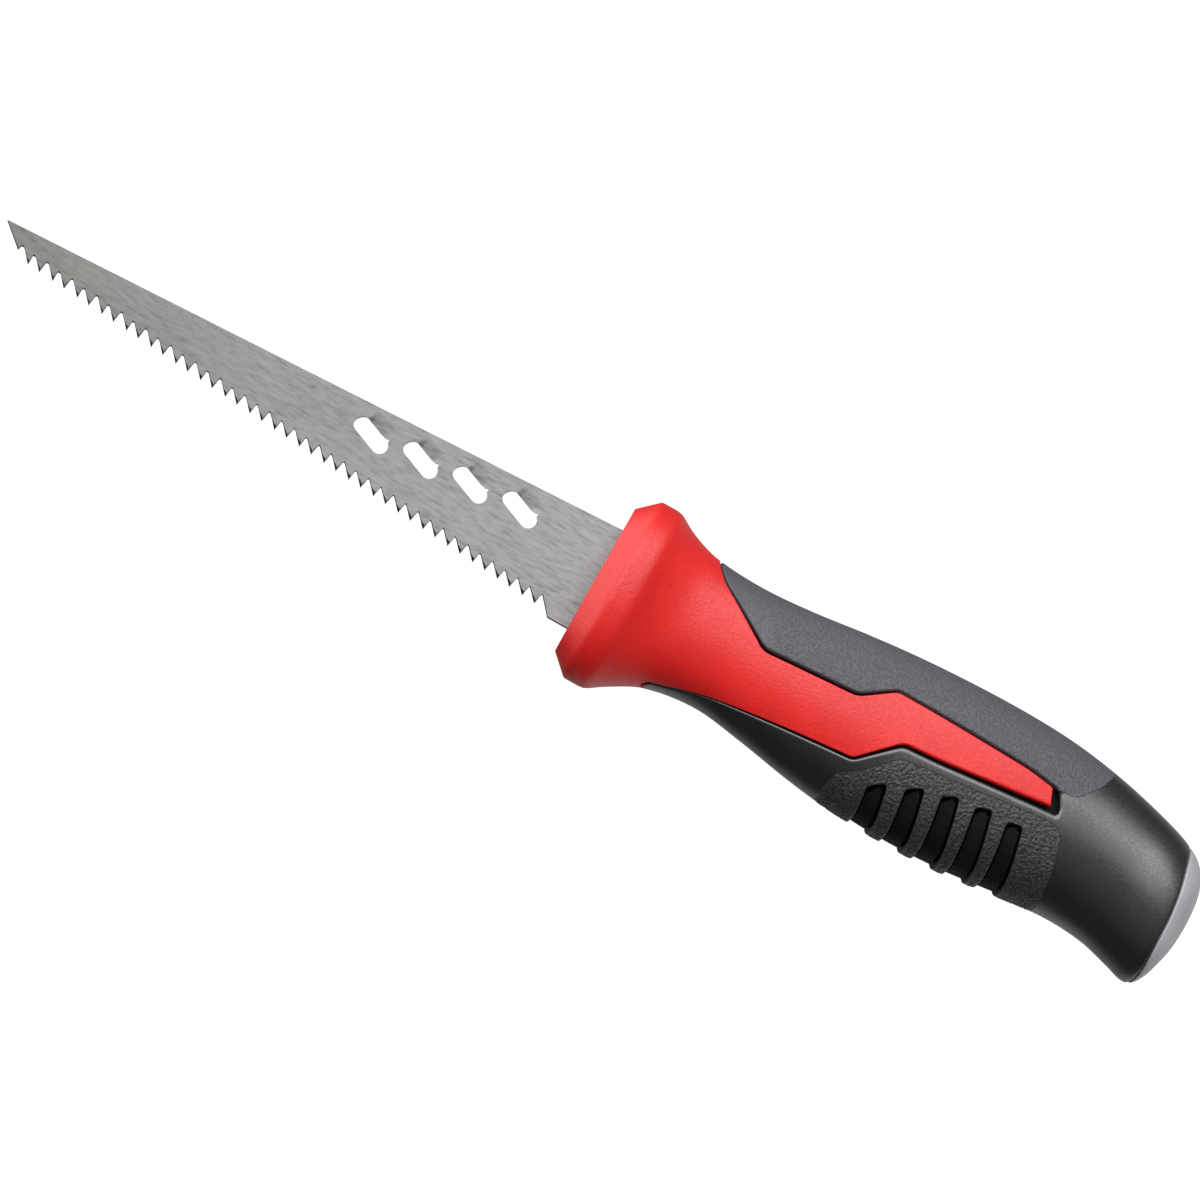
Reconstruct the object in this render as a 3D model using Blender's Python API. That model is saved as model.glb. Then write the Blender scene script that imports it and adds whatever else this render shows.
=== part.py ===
"""Drywall saw with a fixed 6 inch blade, laid on its side.

The tip points along -X, the butt along +X, the spine along +Y and the teeth along -Y. The blade lies level,
at MID_Z, so the saw rests on the flat of its guard at Z = 0. Lengths in the tables are millimetres, and
to_metres turns them into Blender's metres.

The blade's tang runs into a black core. A red guard with two side stripes, an upper grip, a smooth body, a
finger pad and a butt cap cover the core.
"""

import math

import bmesh
import bpy

MM = 0.001

# The whole tool.
BLADE_REACH = 152.4
HANDLE_LENGTH = 152.4
GUARD_HALF_HEIGHT = 22.4
GUARD_HALF_WIDTH = 17.6
GUARD_FLAT = 16.6
MID_Z = GUARD_FLAT

# The blade.
BLADE_THICKNESS = 1.3
SPINE_AT_GUARD = 13.1
SPINE_AT_TIP = 5.4
HEEL_DROP = -12.9
HEEL_FRONT = -4.3
TOOTH_COUNT = 43
FIRST_TOOTH = -147.0
LAST_TOOTH = -8.5
FIRST_GULLET_Y = 1.8
LAST_GULLET_Y = -8.9
TOOTH_DEPTH = 2.7
FIRST_TOOTH_DEPTH = 0.7
TOOTH_RAKE = 0.55
GULLET_LAND = 0.55

# The rasp holes, which follow the spine.
RASP_COUNT = 4
RASP_FIRST = (-58.4, 3.4)
RASP_PITCH = (12.3, 0.65)
RASP_HALF_LENGTH = 3.0
RASP_RADIUS = 1.95
RASP_SLOPE = math.radians(-22)
RASP_END_STEPS = 8

# The tang, inside the handle.
TANG_LENGTH = 96.0
TANG_HALF_HEIGHT = 8.0
TANG_TAPER = 1.5
TANG_HOLES = ((32.0, 0.5), (60.0, 0.5), (84.0, 0.5))
TANG_HOLE_RADIUS = 3.2
ROOT_DEPTH = 3.0
TANG_SHOULDER = 10.0

# Fits. Neighbours keep GAP between them.
GAP = 0.3
SKIN = 2.2
CORE_FRONT = 14.0
CORE_REAR = 141.0
RIB_DEPTH = 0.8
END_MARGIN = 1.0

# The handle's outer form: distance behind the guard's face, back line, belly line, half thickness.
GUARD_ROWS = (
    (0.8, 18.2, -18.2, 12.6),
    (5.4, GUARD_HALF_HEIGHT, -GUARD_HALF_HEIGHT, GUARD_HALF_WIDTH),
    (10.4, GUARD_HALF_HEIGHT, -GUARD_HALF_HEIGHT, GUARD_HALF_WIDTH),
)
HANDLE_ROWS = (
    (10.4, GUARD_HALF_HEIGHT, -GUARD_HALF_HEIGHT, GUARD_HALF_WIDTH),
    (14.8, 19.9, -19.4, 14.3),
    (22.0, 17.6, -15.7, 12.2),
    (34.0, 16.8, -13.9, 11.8),
    (46.0, 17.6, -15.3, 12.5),
    (60.0, 19.4, -17.7, 13.6),
    (72.0, 20.6, -19.1, 14.4),
    (86.0, 21.4, -19.6, 15.0),
    (100.0, 21.6, -19.0, 15.1),
    (112.0, 21.0, -17.5, 14.8),
    (124.0, 19.2, -16.2, 14.3),
    (134.0, 16.8, -16.7, 14.2),
    (142.0, 14.3, -18.7, 14.5),
    (146.0, 12.4, -19.9, 14.3),
    (148.0, 11.0, -19.5, 13.6),
    (149.4, 9.4, -17.8, 12.2),
    (150.6, 7.6, -14.4, 9.6),
    (151.7, 5.0, -10.4, 6.2),
    (HANDLE_LENGTH, 1.6, -5.6, 2.6),
)
ROUNDNESS = 2.4
RING_POINTS = 40
RING_STEP = 7.0
SHARP_ANGLE = math.radians(35)

# Plans of the pieces, seen along Z. FAR is past the handle's outline.
FAR = 30.0
STRIPE_BACK = (
    (22.6, FAR),
    (23.2, 16.5),
    (23.9, 14.4),
    (26.4, 11.4),
    (40.6, 1.7),
    (63.6, 2.8),
    (71.0, 8.2),
    (80.6, 8.0),
    (105.0, 7.2),
)
STRIPE_END = ((110.9, 6.3), (112.6, 1.7))
WINDOW_END = ((112.2, 6.2), (114.4, 1.7))
STRIPE_BELLY = (
    (86.0, -1.5),
    (77.5, -2.0),
    (69.2, -10.1),
    (50.0, -11.3),
    (35.0, -12.4),
    (29.0, -13.6),
    (22.3, -15.3),
    (20.8, -16.6),
    (20.6, -FAR),
)
BEFORE_GUARD = ((-5.0, -FAR), (-5.0, FAR))
UPPER_PLAN = (
    (15.0, FAR),
    (15.0, 5.0),
    (41.3, -2.0),
    (65.0, -1.0),
    (90.0, 4.0),
    (112.6, 6.3),
    (116.6, 6.8),
    (118.8, 9.6),
    (120.4, 12.0),
    (122.1, 15.9),
    (124.0, FAR),
)
PAD_PLAN = (
    (67.0, -FAR),
    (67.0, -16.0),
    (67.8, -13.9),
    (71.5, -12.0),
    (78.8, -5.0),
    (90.0, -4.0),
    (104.0, -2.3),
    (113.8, -1.0),
    (116.5, -1.8),
    (117.7, -4.2),
    (119.0, -8.8),
    (120.4, -14.0),
    (121.0, -FAR),
)
BUTT_SEAM = (
    (144.2, FAR),
    (144.9, 10.0),
    (145.4, 5.0),
    (146.2, 0.0),
    (146.8, -6.0),
    (147.0, -13.0),
    (147.4, -18.0),
    (148.0, -FAR),
)
BEHIND_BUTT = ((165.0, -FAR), (165.0, FAR))

# The finger slots in the pad.
SLOT_COUNT = 5
SLOT_FIRST_X = 76.8
SLOT_PITCH = 7.63
SLOT_HALF_WIDTH = 1.65
SLOT_TOP = -5.6
SLOT_TOP_FALL = 7.0
SLOT_TOP_SLANT = 0.2
SLOT_FRONT_LEAN = 0.18
SLOT_REAR_LEAN = 0.27
SLOT_CORNER = 0.8

# Colour, roughness and metallic value of each material.
STEEL = ("blade_steel", (0.36, 0.36, 0.35), 0.38, 1.0)
BLACK = ("core_nylon", (0.008, 0.008, 0.009), 0.35, 0.0)
RED = ("guard_red", (0.60, 0.018, 0.022), 0.45, 0.0)
GREY = ("grip_rubber", (0.055, 0.057, 0.063), 0.7, 0.0)
DARK = ("body_rubber", (0.035, 0.036, 0.040), 0.55, 0.0)
PAD = ("pad_rubber", (0.030, 0.031, 0.034), 0.85, 0.0)
CAP = ("cap_nylon", (0.13, 0.135, 0.145), 0.4, 0.0)


def to_metres(x, y, z=0.0):
    return (x * MM, y * MM, z * MM)


def clear_scene():
    for obj in list(bpy.data.objects):
        bpy.data.objects.remove(obj, do_unlink=True)


def new_collection(name):
    collection = bpy.data.collections.new(name)
    bpy.context.scene.collection.children.link(collection)
    return collection


def new_material(name, colour, roughness, metallic):
    material = bpy.data.materials.new(name)
    material.use_nodes = True
    shader = material.node_tree.nodes["Principled BSDF"]
    shader.inputs["Base Color"].default_value = (*colour, 1.0)
    shader.inputs["Roughness"].default_value = roughness
    shader.inputs["Metallic"].default_value = metallic
    return material


def handle_section(distance):
    """Back line, belly line and half thickness at a distance, by a smooth curve through HANDLE_ROWS."""
    last = len(HANDLE_ROWS) - 1
    index = 0
    while index < last - 1 and distance > HANDLE_ROWS[index + 1][0]:
        index += 1
    before, start = HANDLE_ROWS[max(index - 1, 0)], HANDLE_ROWS[index]
    end, after = HANDLE_ROWS[index + 1], HANDLE_ROWS[min(index + 2, last)]
    span = end[0] - start[0]
    t = (distance - start[0]) / span
    section = []
    for column in (1, 2, 3):
        slope_start = (end[column] - before[column]) / (end[0] - before[0]) * span
        slope_end = (after[column] - start[column]) / (after[0] - start[0]) * span
        section.append(
            start[column] * (2 * t**3 - 3 * t**2 + 1)
            + slope_start * (t**3 - 2 * t**2 + t)
            + end[column] * (3 * t**2 - 2 * t**3)
            + slope_end * (t**3 - t**2)
        )
    return section


def handle_stations():
    """Distances of the handle's rings: every row, with even steps of about RING_STEP between two rows."""
    stations = [HANDLE_ROWS[0][0]]
    for start, end in zip(HANDLE_ROWS, HANDLE_ROWS[1:]):
        steps = math.ceil((end[0] - start[0]) / RING_STEP)
        stations += [start[0] + (end[0] - start[0]) * step / steps for step in range(1, steps + 1)]
    return stations


def signed_power(value, power):
    return math.copysign(abs(value) ** power, value)


def ring(distance, back, belly, half_width, inset):
    """One closed section across X: a superellipse that no flat side passes GUARD_FLAT."""
    middle = (back + belly) / 2
    half_height = (back - belly) / 2 - inset
    half_width -= inset
    points = []
    for index in range(RING_POINTS):
        angle = 2 * math.pi * (index + 0.5) / RING_POINTS
        y = middle + half_height * signed_power(math.sin(angle), 2 / ROUNDNESS)
        z = half_width * signed_power(math.cos(angle), 2 / ROUNDNESS)
        z = max(-GUARD_FLAT, min(GUARD_FLAT, z))
        points.append(to_metres(distance, y, MID_Z + z))
    return points


def loft_object(name, rings):
    """A solid skinned over rings of equal point count, the first and last closed by flat faces."""
    mesh = bmesh.new()
    loops = [[mesh.verts.new(point) for point in points] for points in rings]
    for lower, upper in zip(loops, loops[1:]):
        for index in range(RING_POINTS):
            after = (index + 1) % RING_POINTS
            mesh.faces.new((lower[index], lower[after], upper[after], upper[index]))
    mesh.faces.new(loops[0])
    mesh.faces.new(loops[-1])
    bmesh.ops.recalc_face_normals(mesh, faces=mesh.faces)
    return mesh_object(name, mesh)


def mesh_object(name, mesh):
    data = bpy.data.meshes.new(name)
    mesh.to_mesh(data)
    mesh.free()
    return bpy.data.objects.new(name, data)


def outer_body(name):
    """The handle's full outer form, from the guard's face to the butt."""
    rings = [ring(*row, 0.0) for row in GUARD_ROWS]
    rings += [ring(distance, *handle_section(distance), 0.0) for distance in handle_stations()[1:]]
    return loft_object(name, rings)


def inner_body(name, inset, front, rear):
    """The handle's form moved in by inset, between two distances."""
    stations = [d for d in handle_stations() if front + END_MARGIN < d < rear - END_MARGIN]
    stations = [front, *stations, rear]
    return loft_object(name, [ring(d, *handle_section(d), inset) for d in stations])


def plan_object(name, outlines, low, high):
    """A solid between two heights with one or more closed outlines. An outline inside another is a hole."""
    curve = bpy.data.curves.new(name, "CURVE")
    curve.dimensions = "2D"
    curve.fill_mode = "BOTH"
    curve.extrude = (high - low) / 2 * MM
    for outline in outlines:
        spline = curve.splines.new("POLY")
        spline.points.add(len(outline) - 1)
        for point, (x, y) in zip(spline.points, outline):
            point.co = (*to_metres(x, y), 1.0)
        spline.use_cyclic_u = True
    guide = bpy.data.objects.new(name + "_outline", curve)
    bpy.context.scene.collection.objects.link(guide)
    data = bpy.data.meshes.new_from_object(guide.evaluated_get(bpy.context.evaluated_depsgraph_get()))
    bpy.data.objects.remove(guide, do_unlink=True)
    mesh = bmesh.new()
    mesh.from_mesh(data)
    bmesh.ops.remove_doubles(mesh, verts=mesh.verts, dist=MM / 100)
    bmesh.ops.translate(mesh, verts=mesh.verts, vec=to_metres(0, 0, (low + high) / 2))
    bmesh.ops.recalc_face_normals(mesh, faces=mesh.faces)
    solid = mesh_object(name, mesh)
    bpy.data.meshes.remove(data)
    return solid


def grown(outline, distance):
    """The outline with every edge moved out by distance, or in where distance is negative."""
    count = len(outline)
    edges = zip(outline, [*outline[1:], outline[0]])
    doubled_area = sum(start[0] * end[1] - end[0] * start[1] for start, end in edges)
    side = distance if doubled_area > 0 else -distance
    moved = []
    for i, (x, y) in enumerate(outline):
        before, after = outline[i - 1], outline[(i + 1) % count]
        first = math.atan2(y - before[1], x - before[0])
        second = math.atan2(after[1] - y, after[0] - x)
        half_turn = math.remainder(second - first, 2 * math.pi) / 2
        direction = first + half_turn - math.pi / 2
        reach = side / math.cos(half_turn)
        moved.append((x + reach * math.cos(direction), y + reach * math.sin(direction)))
    return moved


def circle(centre, radius, steps=16):
    return [
        (
            centre[0] + radius * math.cos(2 * math.pi * step / steps),
            centre[1] + radius * math.sin(2 * math.pi * step / steps),
        )
        for step in range(steps)
    ]


def rasp_outline(index):
    """One rasp hole: a slanted bar with round ends."""
    middle = (RASP_FIRST[0] + RASP_PITCH[0] * index, RASP_FIRST[1] + RASP_PITCH[1] * index)
    along = (math.cos(RASP_SLOPE), math.sin(RASP_SLOPE))
    outline = []
    for end in (1, -1):
        for step in range(RASP_END_STEPS + 1):
            turn = RASP_SLOPE + math.pi * (step / RASP_END_STEPS - 0.5) + (0 if end > 0 else math.pi)
            outline.append(
                (
                    middle[0] + end * along[0] * RASP_HALF_LENGTH + RASP_RADIUS * math.cos(turn),
                    middle[1] + end * along[1] * RASP_HALF_LENGTH + RASP_RADIUS * math.sin(turn),
                )
            )
    return outline


def tooth_edge():
    """The toothed edge from the heel forward to the tip: for each tooth its gullet and its point."""
    pitch = (LAST_TOOTH - FIRST_TOOTH) / (TOOTH_COUNT - 1)
    fall = (LAST_GULLET_Y - FIRST_GULLET_Y) / (LAST_TOOTH - FIRST_TOOTH)
    edge = [(0.0, HEEL_DROP), (HEEL_FRONT, HEEL_DROP)]
    for index in reversed(range(TOOTH_COUNT)):
        point_x = FIRST_TOOTH + pitch * index
        gullet_x = point_x + TOOTH_RAKE
        gullet_y = FIRST_GULLET_Y + fall * (gullet_x - FIRST_TOOTH)
        depth = TOOTH_DEPTH if index else FIRST_TOOTH_DEPTH
        edge.append((gullet_x + GULLET_LAND, gullet_y))
        edge.append((gullet_x, gullet_y))
        edge.append((point_x, gullet_y - depth))
    return edge


def blade_outline():
    tang_rear = (TANG_LENGTH, TANG_HALF_HEIGHT - TANG_TAPER)
    tang_front = (TANG_SHOULDER, TANG_HALF_HEIGHT)
    spine = [(-BLADE_REACH, SPINE_AT_TIP), (ROOT_DEPTH, SPINE_AT_GUARD)]
    tang = [(ROOT_DEPTH, tang_front[1]), tang_front, tang_rear]
    below = [(x, -y) for x, y in reversed(tang)]
    return spine + tang + below + [(ROOT_DEPTH, HEEL_DROP)] + tooth_edge()


def pocket_outline():
    """The room for the blade's root and tang inside the guard and the core."""
    front_x = BEFORE_GUARD[0][0]
    root = [(front_x, HEEL_DROP), (front_x, SPINE_AT_GUARD), (ROOT_DEPTH, SPINE_AT_GUARD)]
    tang = [(ROOT_DEPTH, TANG_HALF_HEIGHT), (TANG_LENGTH, TANG_HALF_HEIGHT - TANG_TAPER)]
    below = [(x, -y) for x, y in reversed(tang)]
    return grown(root + tang + below + [(ROOT_DEPTH, HEEL_DROP)], GAP)


def slot_top(index, side, shrink):
    """One upper corner of a finger slot. The corners fall away on a curve towards the guard."""
    centre = SLOT_FIRST_X + SLOT_PITCH * index
    offset = side * (SLOT_HALF_WIDTH - shrink)
    rank = index + offset / SLOT_PITCH
    fall = SLOT_TOP_FALL * (1 - rank / (SLOT_COUNT - 1)) ** 2
    return centre + offset, SLOT_TOP - fall + SLOT_TOP_SLANT * offset - shrink


def slot_outline(index, shrink):
    """One finger slot, which leans back and widens on its way down and runs off under the belly."""
    front_x, front_y = slot_top(index, -1, shrink)
    rear_x, rear_y = slot_top(index, 1, shrink)
    return [
        (front_x + SLOT_FRONT_LEAN * (front_y + FAR), -FAR),
        (rear_x + SLOT_REAR_LEAN * (rear_y + FAR), -FAR),
        (rear_x + SLOT_REAR_LEAN * SLOT_CORNER, rear_y - SLOT_CORNER),
        (rear_x - SLOT_CORNER, rear_y),
        (front_x + SLOT_CORNER, front_y),
        (front_x + SLOT_FRONT_LEAN * SLOT_CORNER, front_y - SLOT_CORNER),
    ]


def add_boolean(obj, operation, other):
    modifier = obj.modifiers.new(operation.lower() + "_" + other.name, "BOOLEAN")
    modifier.operation = operation
    modifier.solver = "EXACT"
    modifier.object = other


class Saw:
    """Holds the two collections and makes the pieces."""

    def __init__(self):
        self.parts = new_collection("drywall_saw")
        self.cutters = new_collection("cutters")

    def cutter(self, obj):
        self.cutters.objects.link(obj)
        obj.hide_render = True
        obj.display_type = "WIRE"
        return obj

    def plan_cutter(self, name, *outlines):
        return self.cutter(plan_object(name, outlines, -FAR, 2 * FAR))

    def part(self, obj, look, steps=()):
        """Adds a piece with its material and its Booleans, and shades its round faces smooth."""
        self.parts.objects.link(obj)
        obj.data.materials.append(new_material(*look))
        obj.data.shade_smooth()
        obj.data.set_sharp_from_angle(angle=SHARP_ANGLE)
        for operation, other in steps:
            add_boolean(obj, operation, other)
        return obj


def make_blade(saw):
    holes = [rasp_outline(index) for index in range(RASP_COUNT)]
    holes += [circle(centre, TANG_HOLE_RADIUS) for centre in TANG_HOLES]
    low, high = MID_Z - BLADE_THICKNESS / 2, MID_Z + BLADE_THICKNESS / 2
    saw.part(plan_object("blade", [blade_outline(), *holes], low, high), STEEL)


def make_handle(saw):
    stripe = [*BEFORE_GUARD, *STRIPE_BACK, *STRIPE_END, *STRIPE_BELLY]
    window = [*BEFORE_GUARD, *STRIPE_BACK, *WINDOW_END, *STRIPE_BELLY]
    red_area = saw.plan_cutter("red_area", stripe)
    window_area = saw.plan_cutter("window_area", grown(window, GAP))
    upper_area = saw.plan_cutter("upper_area", UPPER_PLAN)
    upper_room = saw.plan_cutter("upper_room", grown(UPPER_PLAN, GAP))
    pad_area = saw.plan_cutter("pad_area", PAD_PLAN)
    pad_room = saw.plan_cutter("pad_room", grown(PAD_PLAN, GAP))
    behind_seam = [*BUTT_SEAM, *BEHIND_BUTT]
    butt_room = saw.plan_cutter("butt_room", behind_seam)
    butt_area = saw.plan_cutter("butt_area", grown(behind_seam, -GAP))
    hollow = saw.cutter(inner_body("hollow", SKIN, CORE_FRONT - GAP, CORE_REAR + GAP))

    low, high = MID_Z - BLADE_THICKNESS / 2 - GAP, MID_Z + BLADE_THICKNESS / 2 + GAP
    plugs = [circle(centre, TANG_HOLE_RADIUS - GAP) for centre in TANG_HOLES]
    pocket = saw.cutter(plan_object("pocket", [pocket_outline(), *plugs], low, high))
    slots = [saw.plan_cutter(f"slot_{index + 1}", slot_outline(index, 0.0)) for index in range(SLOT_COUNT)]
    ribs = [slot_outline(index, GAP) for index in range(SLOT_COUNT)]

    rib_area = saw.plan_cutter("rib_area", *ribs)
    rib_body = saw.cutter(inner_body("rib_body", RIB_DEPTH, CORE_FRONT, CORE_REAR))
    add_boolean(rib_body, "INTERSECT", rib_area)

    saw.part(
        outer_body("guard"),
        RED,
        [("INTERSECT", red_area), ("DIFFERENCE", hollow), ("DIFFERENCE", pocket)],
    )
    saw.part(
        outer_body("upper_grip"),
        GREY,
        [("INTERSECT", upper_area), ("DIFFERENCE", window_area), ("DIFFERENCE", hollow)],
    )
    saw.part(
        outer_body("grip_body"),
        DARK,
        [
            ("DIFFERENCE", window_area),
            ("DIFFERENCE", upper_room),
            ("DIFFERENCE", pad_room),
            ("DIFFERENCE", butt_room),
            ("DIFFERENCE", hollow),
        ],
    )
    saw.part(
        outer_body("finger_pad"),
        PAD,
        [("INTERSECT", pad_area), ("DIFFERENCE", hollow), *(("DIFFERENCE", slot) for slot in slots)],
    )
    saw.part(outer_body("butt_cap"), CAP, [("INTERSECT", butt_area)])
    core = inner_body("handle_core", SKIN + GAP, CORE_FRONT, CORE_REAR)
    saw.part(core, BLACK, [("UNION", rib_body), ("DIFFERENCE", pocket)])


def main():
    clear_scene()
    saw = Saw()
    make_blade(saw)
    make_handle(saw)


main()
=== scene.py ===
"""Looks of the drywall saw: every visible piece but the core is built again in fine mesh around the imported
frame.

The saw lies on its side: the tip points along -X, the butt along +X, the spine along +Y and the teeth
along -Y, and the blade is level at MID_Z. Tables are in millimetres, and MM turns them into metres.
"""

import math

import bmesh
import bpy
import numpy as np
from mathutils import Matrix, Vector, geometry, noise


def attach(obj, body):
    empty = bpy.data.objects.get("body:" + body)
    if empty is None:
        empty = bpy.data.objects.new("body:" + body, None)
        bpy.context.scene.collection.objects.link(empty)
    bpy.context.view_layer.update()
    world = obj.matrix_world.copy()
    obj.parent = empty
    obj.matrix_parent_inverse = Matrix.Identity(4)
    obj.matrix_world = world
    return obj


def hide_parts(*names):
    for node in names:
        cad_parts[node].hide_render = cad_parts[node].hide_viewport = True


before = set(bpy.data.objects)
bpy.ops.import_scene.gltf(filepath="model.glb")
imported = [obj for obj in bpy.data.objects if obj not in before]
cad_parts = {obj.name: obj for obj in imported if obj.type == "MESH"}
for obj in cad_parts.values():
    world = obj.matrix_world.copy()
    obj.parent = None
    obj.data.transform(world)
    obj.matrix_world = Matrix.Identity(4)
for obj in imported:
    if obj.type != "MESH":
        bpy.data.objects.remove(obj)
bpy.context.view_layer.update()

MM = 0.001
MID_Z = 16.6

# The blade: the frame's outline and tang, with finer teeth and rasp holes.
BLADE_REACH = 152.4
HALF_THICKNESS = 0.65
SPINE_AT_GUARD = 13.1
SPINE_AT_TIP = 5.4
HEEL_DROP = -12.9
HEEL_FRONT = -4.3
ROOT_DEPTH = 3.0
TOOTH_COUNT = 43
FIRST_TOOTH = -147.0
LAST_TOOTH = -8.5
FIRST_GULLET_Y = 1.5
LAST_GULLET_Y = -8.9
FIRST_TOOTH_DEPTH = 0.7
LONG_FLANK = 2.4
TEETH_SETTLE = 30
# Each pair is a value at the tip and one at the heel. Of two pairs, the second is the narrow tooth's.
TOOTH_RAKE = (0.25, 0.65)
GULLET_LIFT = ((0.5, 0.0), (0.15, -0.1))
TOOTH_DEPTH = ((2.3, 2.65), (2.3, 2.65))
TIP_SHIFT = ((0.0, 0.1), (0.28, 0.2))
# How far the grinding cuts back the near face of a broad and a narrow tooth, at the point and on each flank.
GROUND_TIP = (0.6, 0.72)
GROUND_FLANKS = ((0.32, 0.26), (0.16, 0.14))
FLANK_FOOT, FLANK_MIDDLE, FLANK_SHOULDER = 0.10, 0.45, 0.62
LAND_GAP = 0.1
RASP_COUNT = 4
RASP_FIRST = (-58.4, 3.4)
RASP_PITCH = (12.3, 0.65)
RASP_HALF_LENGTH = 3.0
RASP_RADIUS = 1.95
RASP_SLOPE = math.radians(-22)
RASP_BREAKOUT = 0.38
RASP_NICK = ((3.6, -0.05), (3.4, 0.62), (3.1, 0.5), (2.6, 0.12), (1.6, 0.0))
RASP_END_POINTS = 14
# The steel beside a rasp hole, on the spine's side, is pushed down.
PRESS_DEPTH = 0.22
PRESS_REACH = 3.0
PRESS_START = 0.6
PRESS_RISE = 1.2
PRESS_CURVE = 1.3
PRESS_FRONT, PRESS_FRONT_FADE = 3.3, 1.0
PRESS_REAR, PRESS_REAR_FADE = 3.4, 1.6
LATTICE_STEP = 0.3
LATTICE_ALONG = (-3.9, 4.2)
LATTICE_ACROSS = (0.6, 3.6)
LATTICE_CLEARANCE = 0.12
TANG_SHOULDER = 10.0
TANG_LENGTH = 96.0
TANG_HALF_HEIGHT = 8.0
TANG_TAPER = 1.5
TANG_HOLES = ((32.0, 0.5), (60.0, 0.5), (84.0, 0.5))
TANG_HOLE_RADIUS = 3.2
TANG_HOLE_SIDES = 24

# The handle's outer form: distance behind the guard's face, back line, belly line, half thickness.
# The guard is a plain oval here, without the flat that the frame has on its side.
GUARD_ROWS = (
    (0.8, 18.2, -18.2, 12.6),
    (5.4, 22.4, -22.4, 16.6),
    (10.4, 22.4, -22.4, 16.6),
)
HANDLE_ROWS = (
    (10.4, 22.4, -22.4, 16.6),
    (14.8, 19.9, -19.4, 14.3),
    (22.0, 17.6, -15.7, 12.2),
    (34.0, 16.8, -13.9, 11.8),
    (46.0, 17.6, -15.3, 12.5),
    (60.0, 19.4, -17.7, 13.6),
    (72.0, 20.6, -19.1, 14.4),
    (86.0, 21.4, -19.6, 15.0),
    (100.0, 21.6, -19.0, 15.1),
    (112.0, 21.0, -17.5, 14.8),
    (124.0, 19.2, -16.2, 14.3),
    (134.0, 16.8, -16.7, 14.2),
    (142.0, 14.3, -18.7, 14.5),
    (146.0, 12.4, -19.9, 14.3),
    (148.0, 11.0, -19.5, 13.6),
    (149.4, 9.4, -17.8, 12.2),
    (150.6, 7.6, -14.4, 9.6),
    (151.7, 5.0, -10.4, 6.2),
    (152.4, 1.6, -5.6, 2.6),
)
END_ROW = (152.4, -2.0, -2.0, 0.0)
ROUNDNESS = 2.4

# Seams on the near side, in plan. Each line starts and ends on the handle's back or belly.
BACK, BELLY = 99.0, -99.0
STRIPE_BACK = (
    (105.0, 7.2, 3.0),
    (80.6, 8.0, 3.0),
    (71.0, 8.2, 1.0),
    (63.6, 2.8, 1.6),
    (40.6, 1.7, 1.6),
    (26.4, 11.4, 2.0),
    (23.9, 14.4, 1.5),
    (23.0, BACK, 0.0),
)
STRIPE_END = ((112.6, 1.7, 0.4), (110.9, 6.3, 0.4))
STRIPE_BELLY = (
    (21.1, BELLY, 0.0),
    (22.3, -15.3, 0.6),
    (29.0, -13.6, 2.5),
    (35.0, -12.4, 3.0),
    (50.0, -11.3, 3.0),
    (69.2, -10.1, 1.0),
    (77.5, -2.0, 1.4),
    (86.0, -1.5, 3.0),
)
WINDOW_END = ((114.4, 1.7, 0.6), (112.2, 6.2, 0.7))
UPPER_REAR = (
    (116.6, 6.8, 0.8),
    (118.8, 9.6, 1.5),
    (120.4, 12.0, 1.5),
    (122.1, 15.9, 1.5),
    (122.9, BACK, 0.0),
)
PAD_LINE = (
    (66.9, BELLY, 0.0),
    (67.0, -16.0, 0.8),
    (67.8, -13.9, 0.9),
    (71.5, -12.0, 0.9),
    (78.8, -5.0, 1.8),
    (90.0, -4.0, 2.0),
    (104.0, -2.3, 2.0),
    (113.8, -1.0, 1.5),
    (116.5, -1.8, 1.2),
    (117.7, -4.2, 1.2),
    (119.0, -8.8, 1.5),
    (120.4, -14.0, 1.5),
    (121.0, BELLY, 0.0),
)
BUTT_SEAM = (
    (144.8, BACK, 0.0),
    (145.4, 5.0, 2.0),
    (146.2, 0.0, 2.0),
    (146.8, -6.0, 2.0),
    (147.0, -13.0, 2.0),
    (147.7, BELLY, 0.0),
)
SLOT_COUNT = 5
SLOT_FIRST_X = 76.8
SLOT_PITCH = 7.63
SLOT_HALF_WIDTH = 1.65
SLOT_TOP = -5.6
SLOT_TOP_FALL = 7.0
SLOT_TOP_SLANT = 0.2
SLOT_FRONT_LEAN = 0.18
SLOT_REAR_LEAN = 0.27
SLOT_CORNER = 0.8

# The unrolled surface: u runs along the handle, v round it.
TURN = 17.0
V_END = TURN * math.pi / 2
TABLE_STEP = 0.05
WALL = 1.6
CRISP, SOFT = 0.22, 0.9

# Seams: the gap on each side of one, and how much of the gap and of the rolled edge a faint seam loses.
SEAM_GAP = 0.2
FINE_SEAM = 0.96
FINE_ROLL = 0.92
# The rear seam of the upper grip turns faint behind and above this place, over this length.
FAINT_FROM = (111.6, 5.9)
FAINT_OVER = (0.8, 0.3)

# How the skin is meshed: rings along each seam, as shares of its rolled edge, then an even grid.
EDGE_RINGS = (0.08, 0.2, 0.4, 0.7, 1.0, 1.4)
RING_CLEARANCE = 0.85
GRID_CLEARANCE = 0.4
ROW_SHARE = 0.87
RIM_CLEARANCE = 0.03
MIRROR_CLEARANCE = 0.15
ON_EDGE = 1e-6
SEAM_STEP = 0.35
SKIN_STEP = 1.1
PAD_STEP = 0.26
CAP_STEP = 0.9
WELD = 0.004
SLIVER = 0.001

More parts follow.
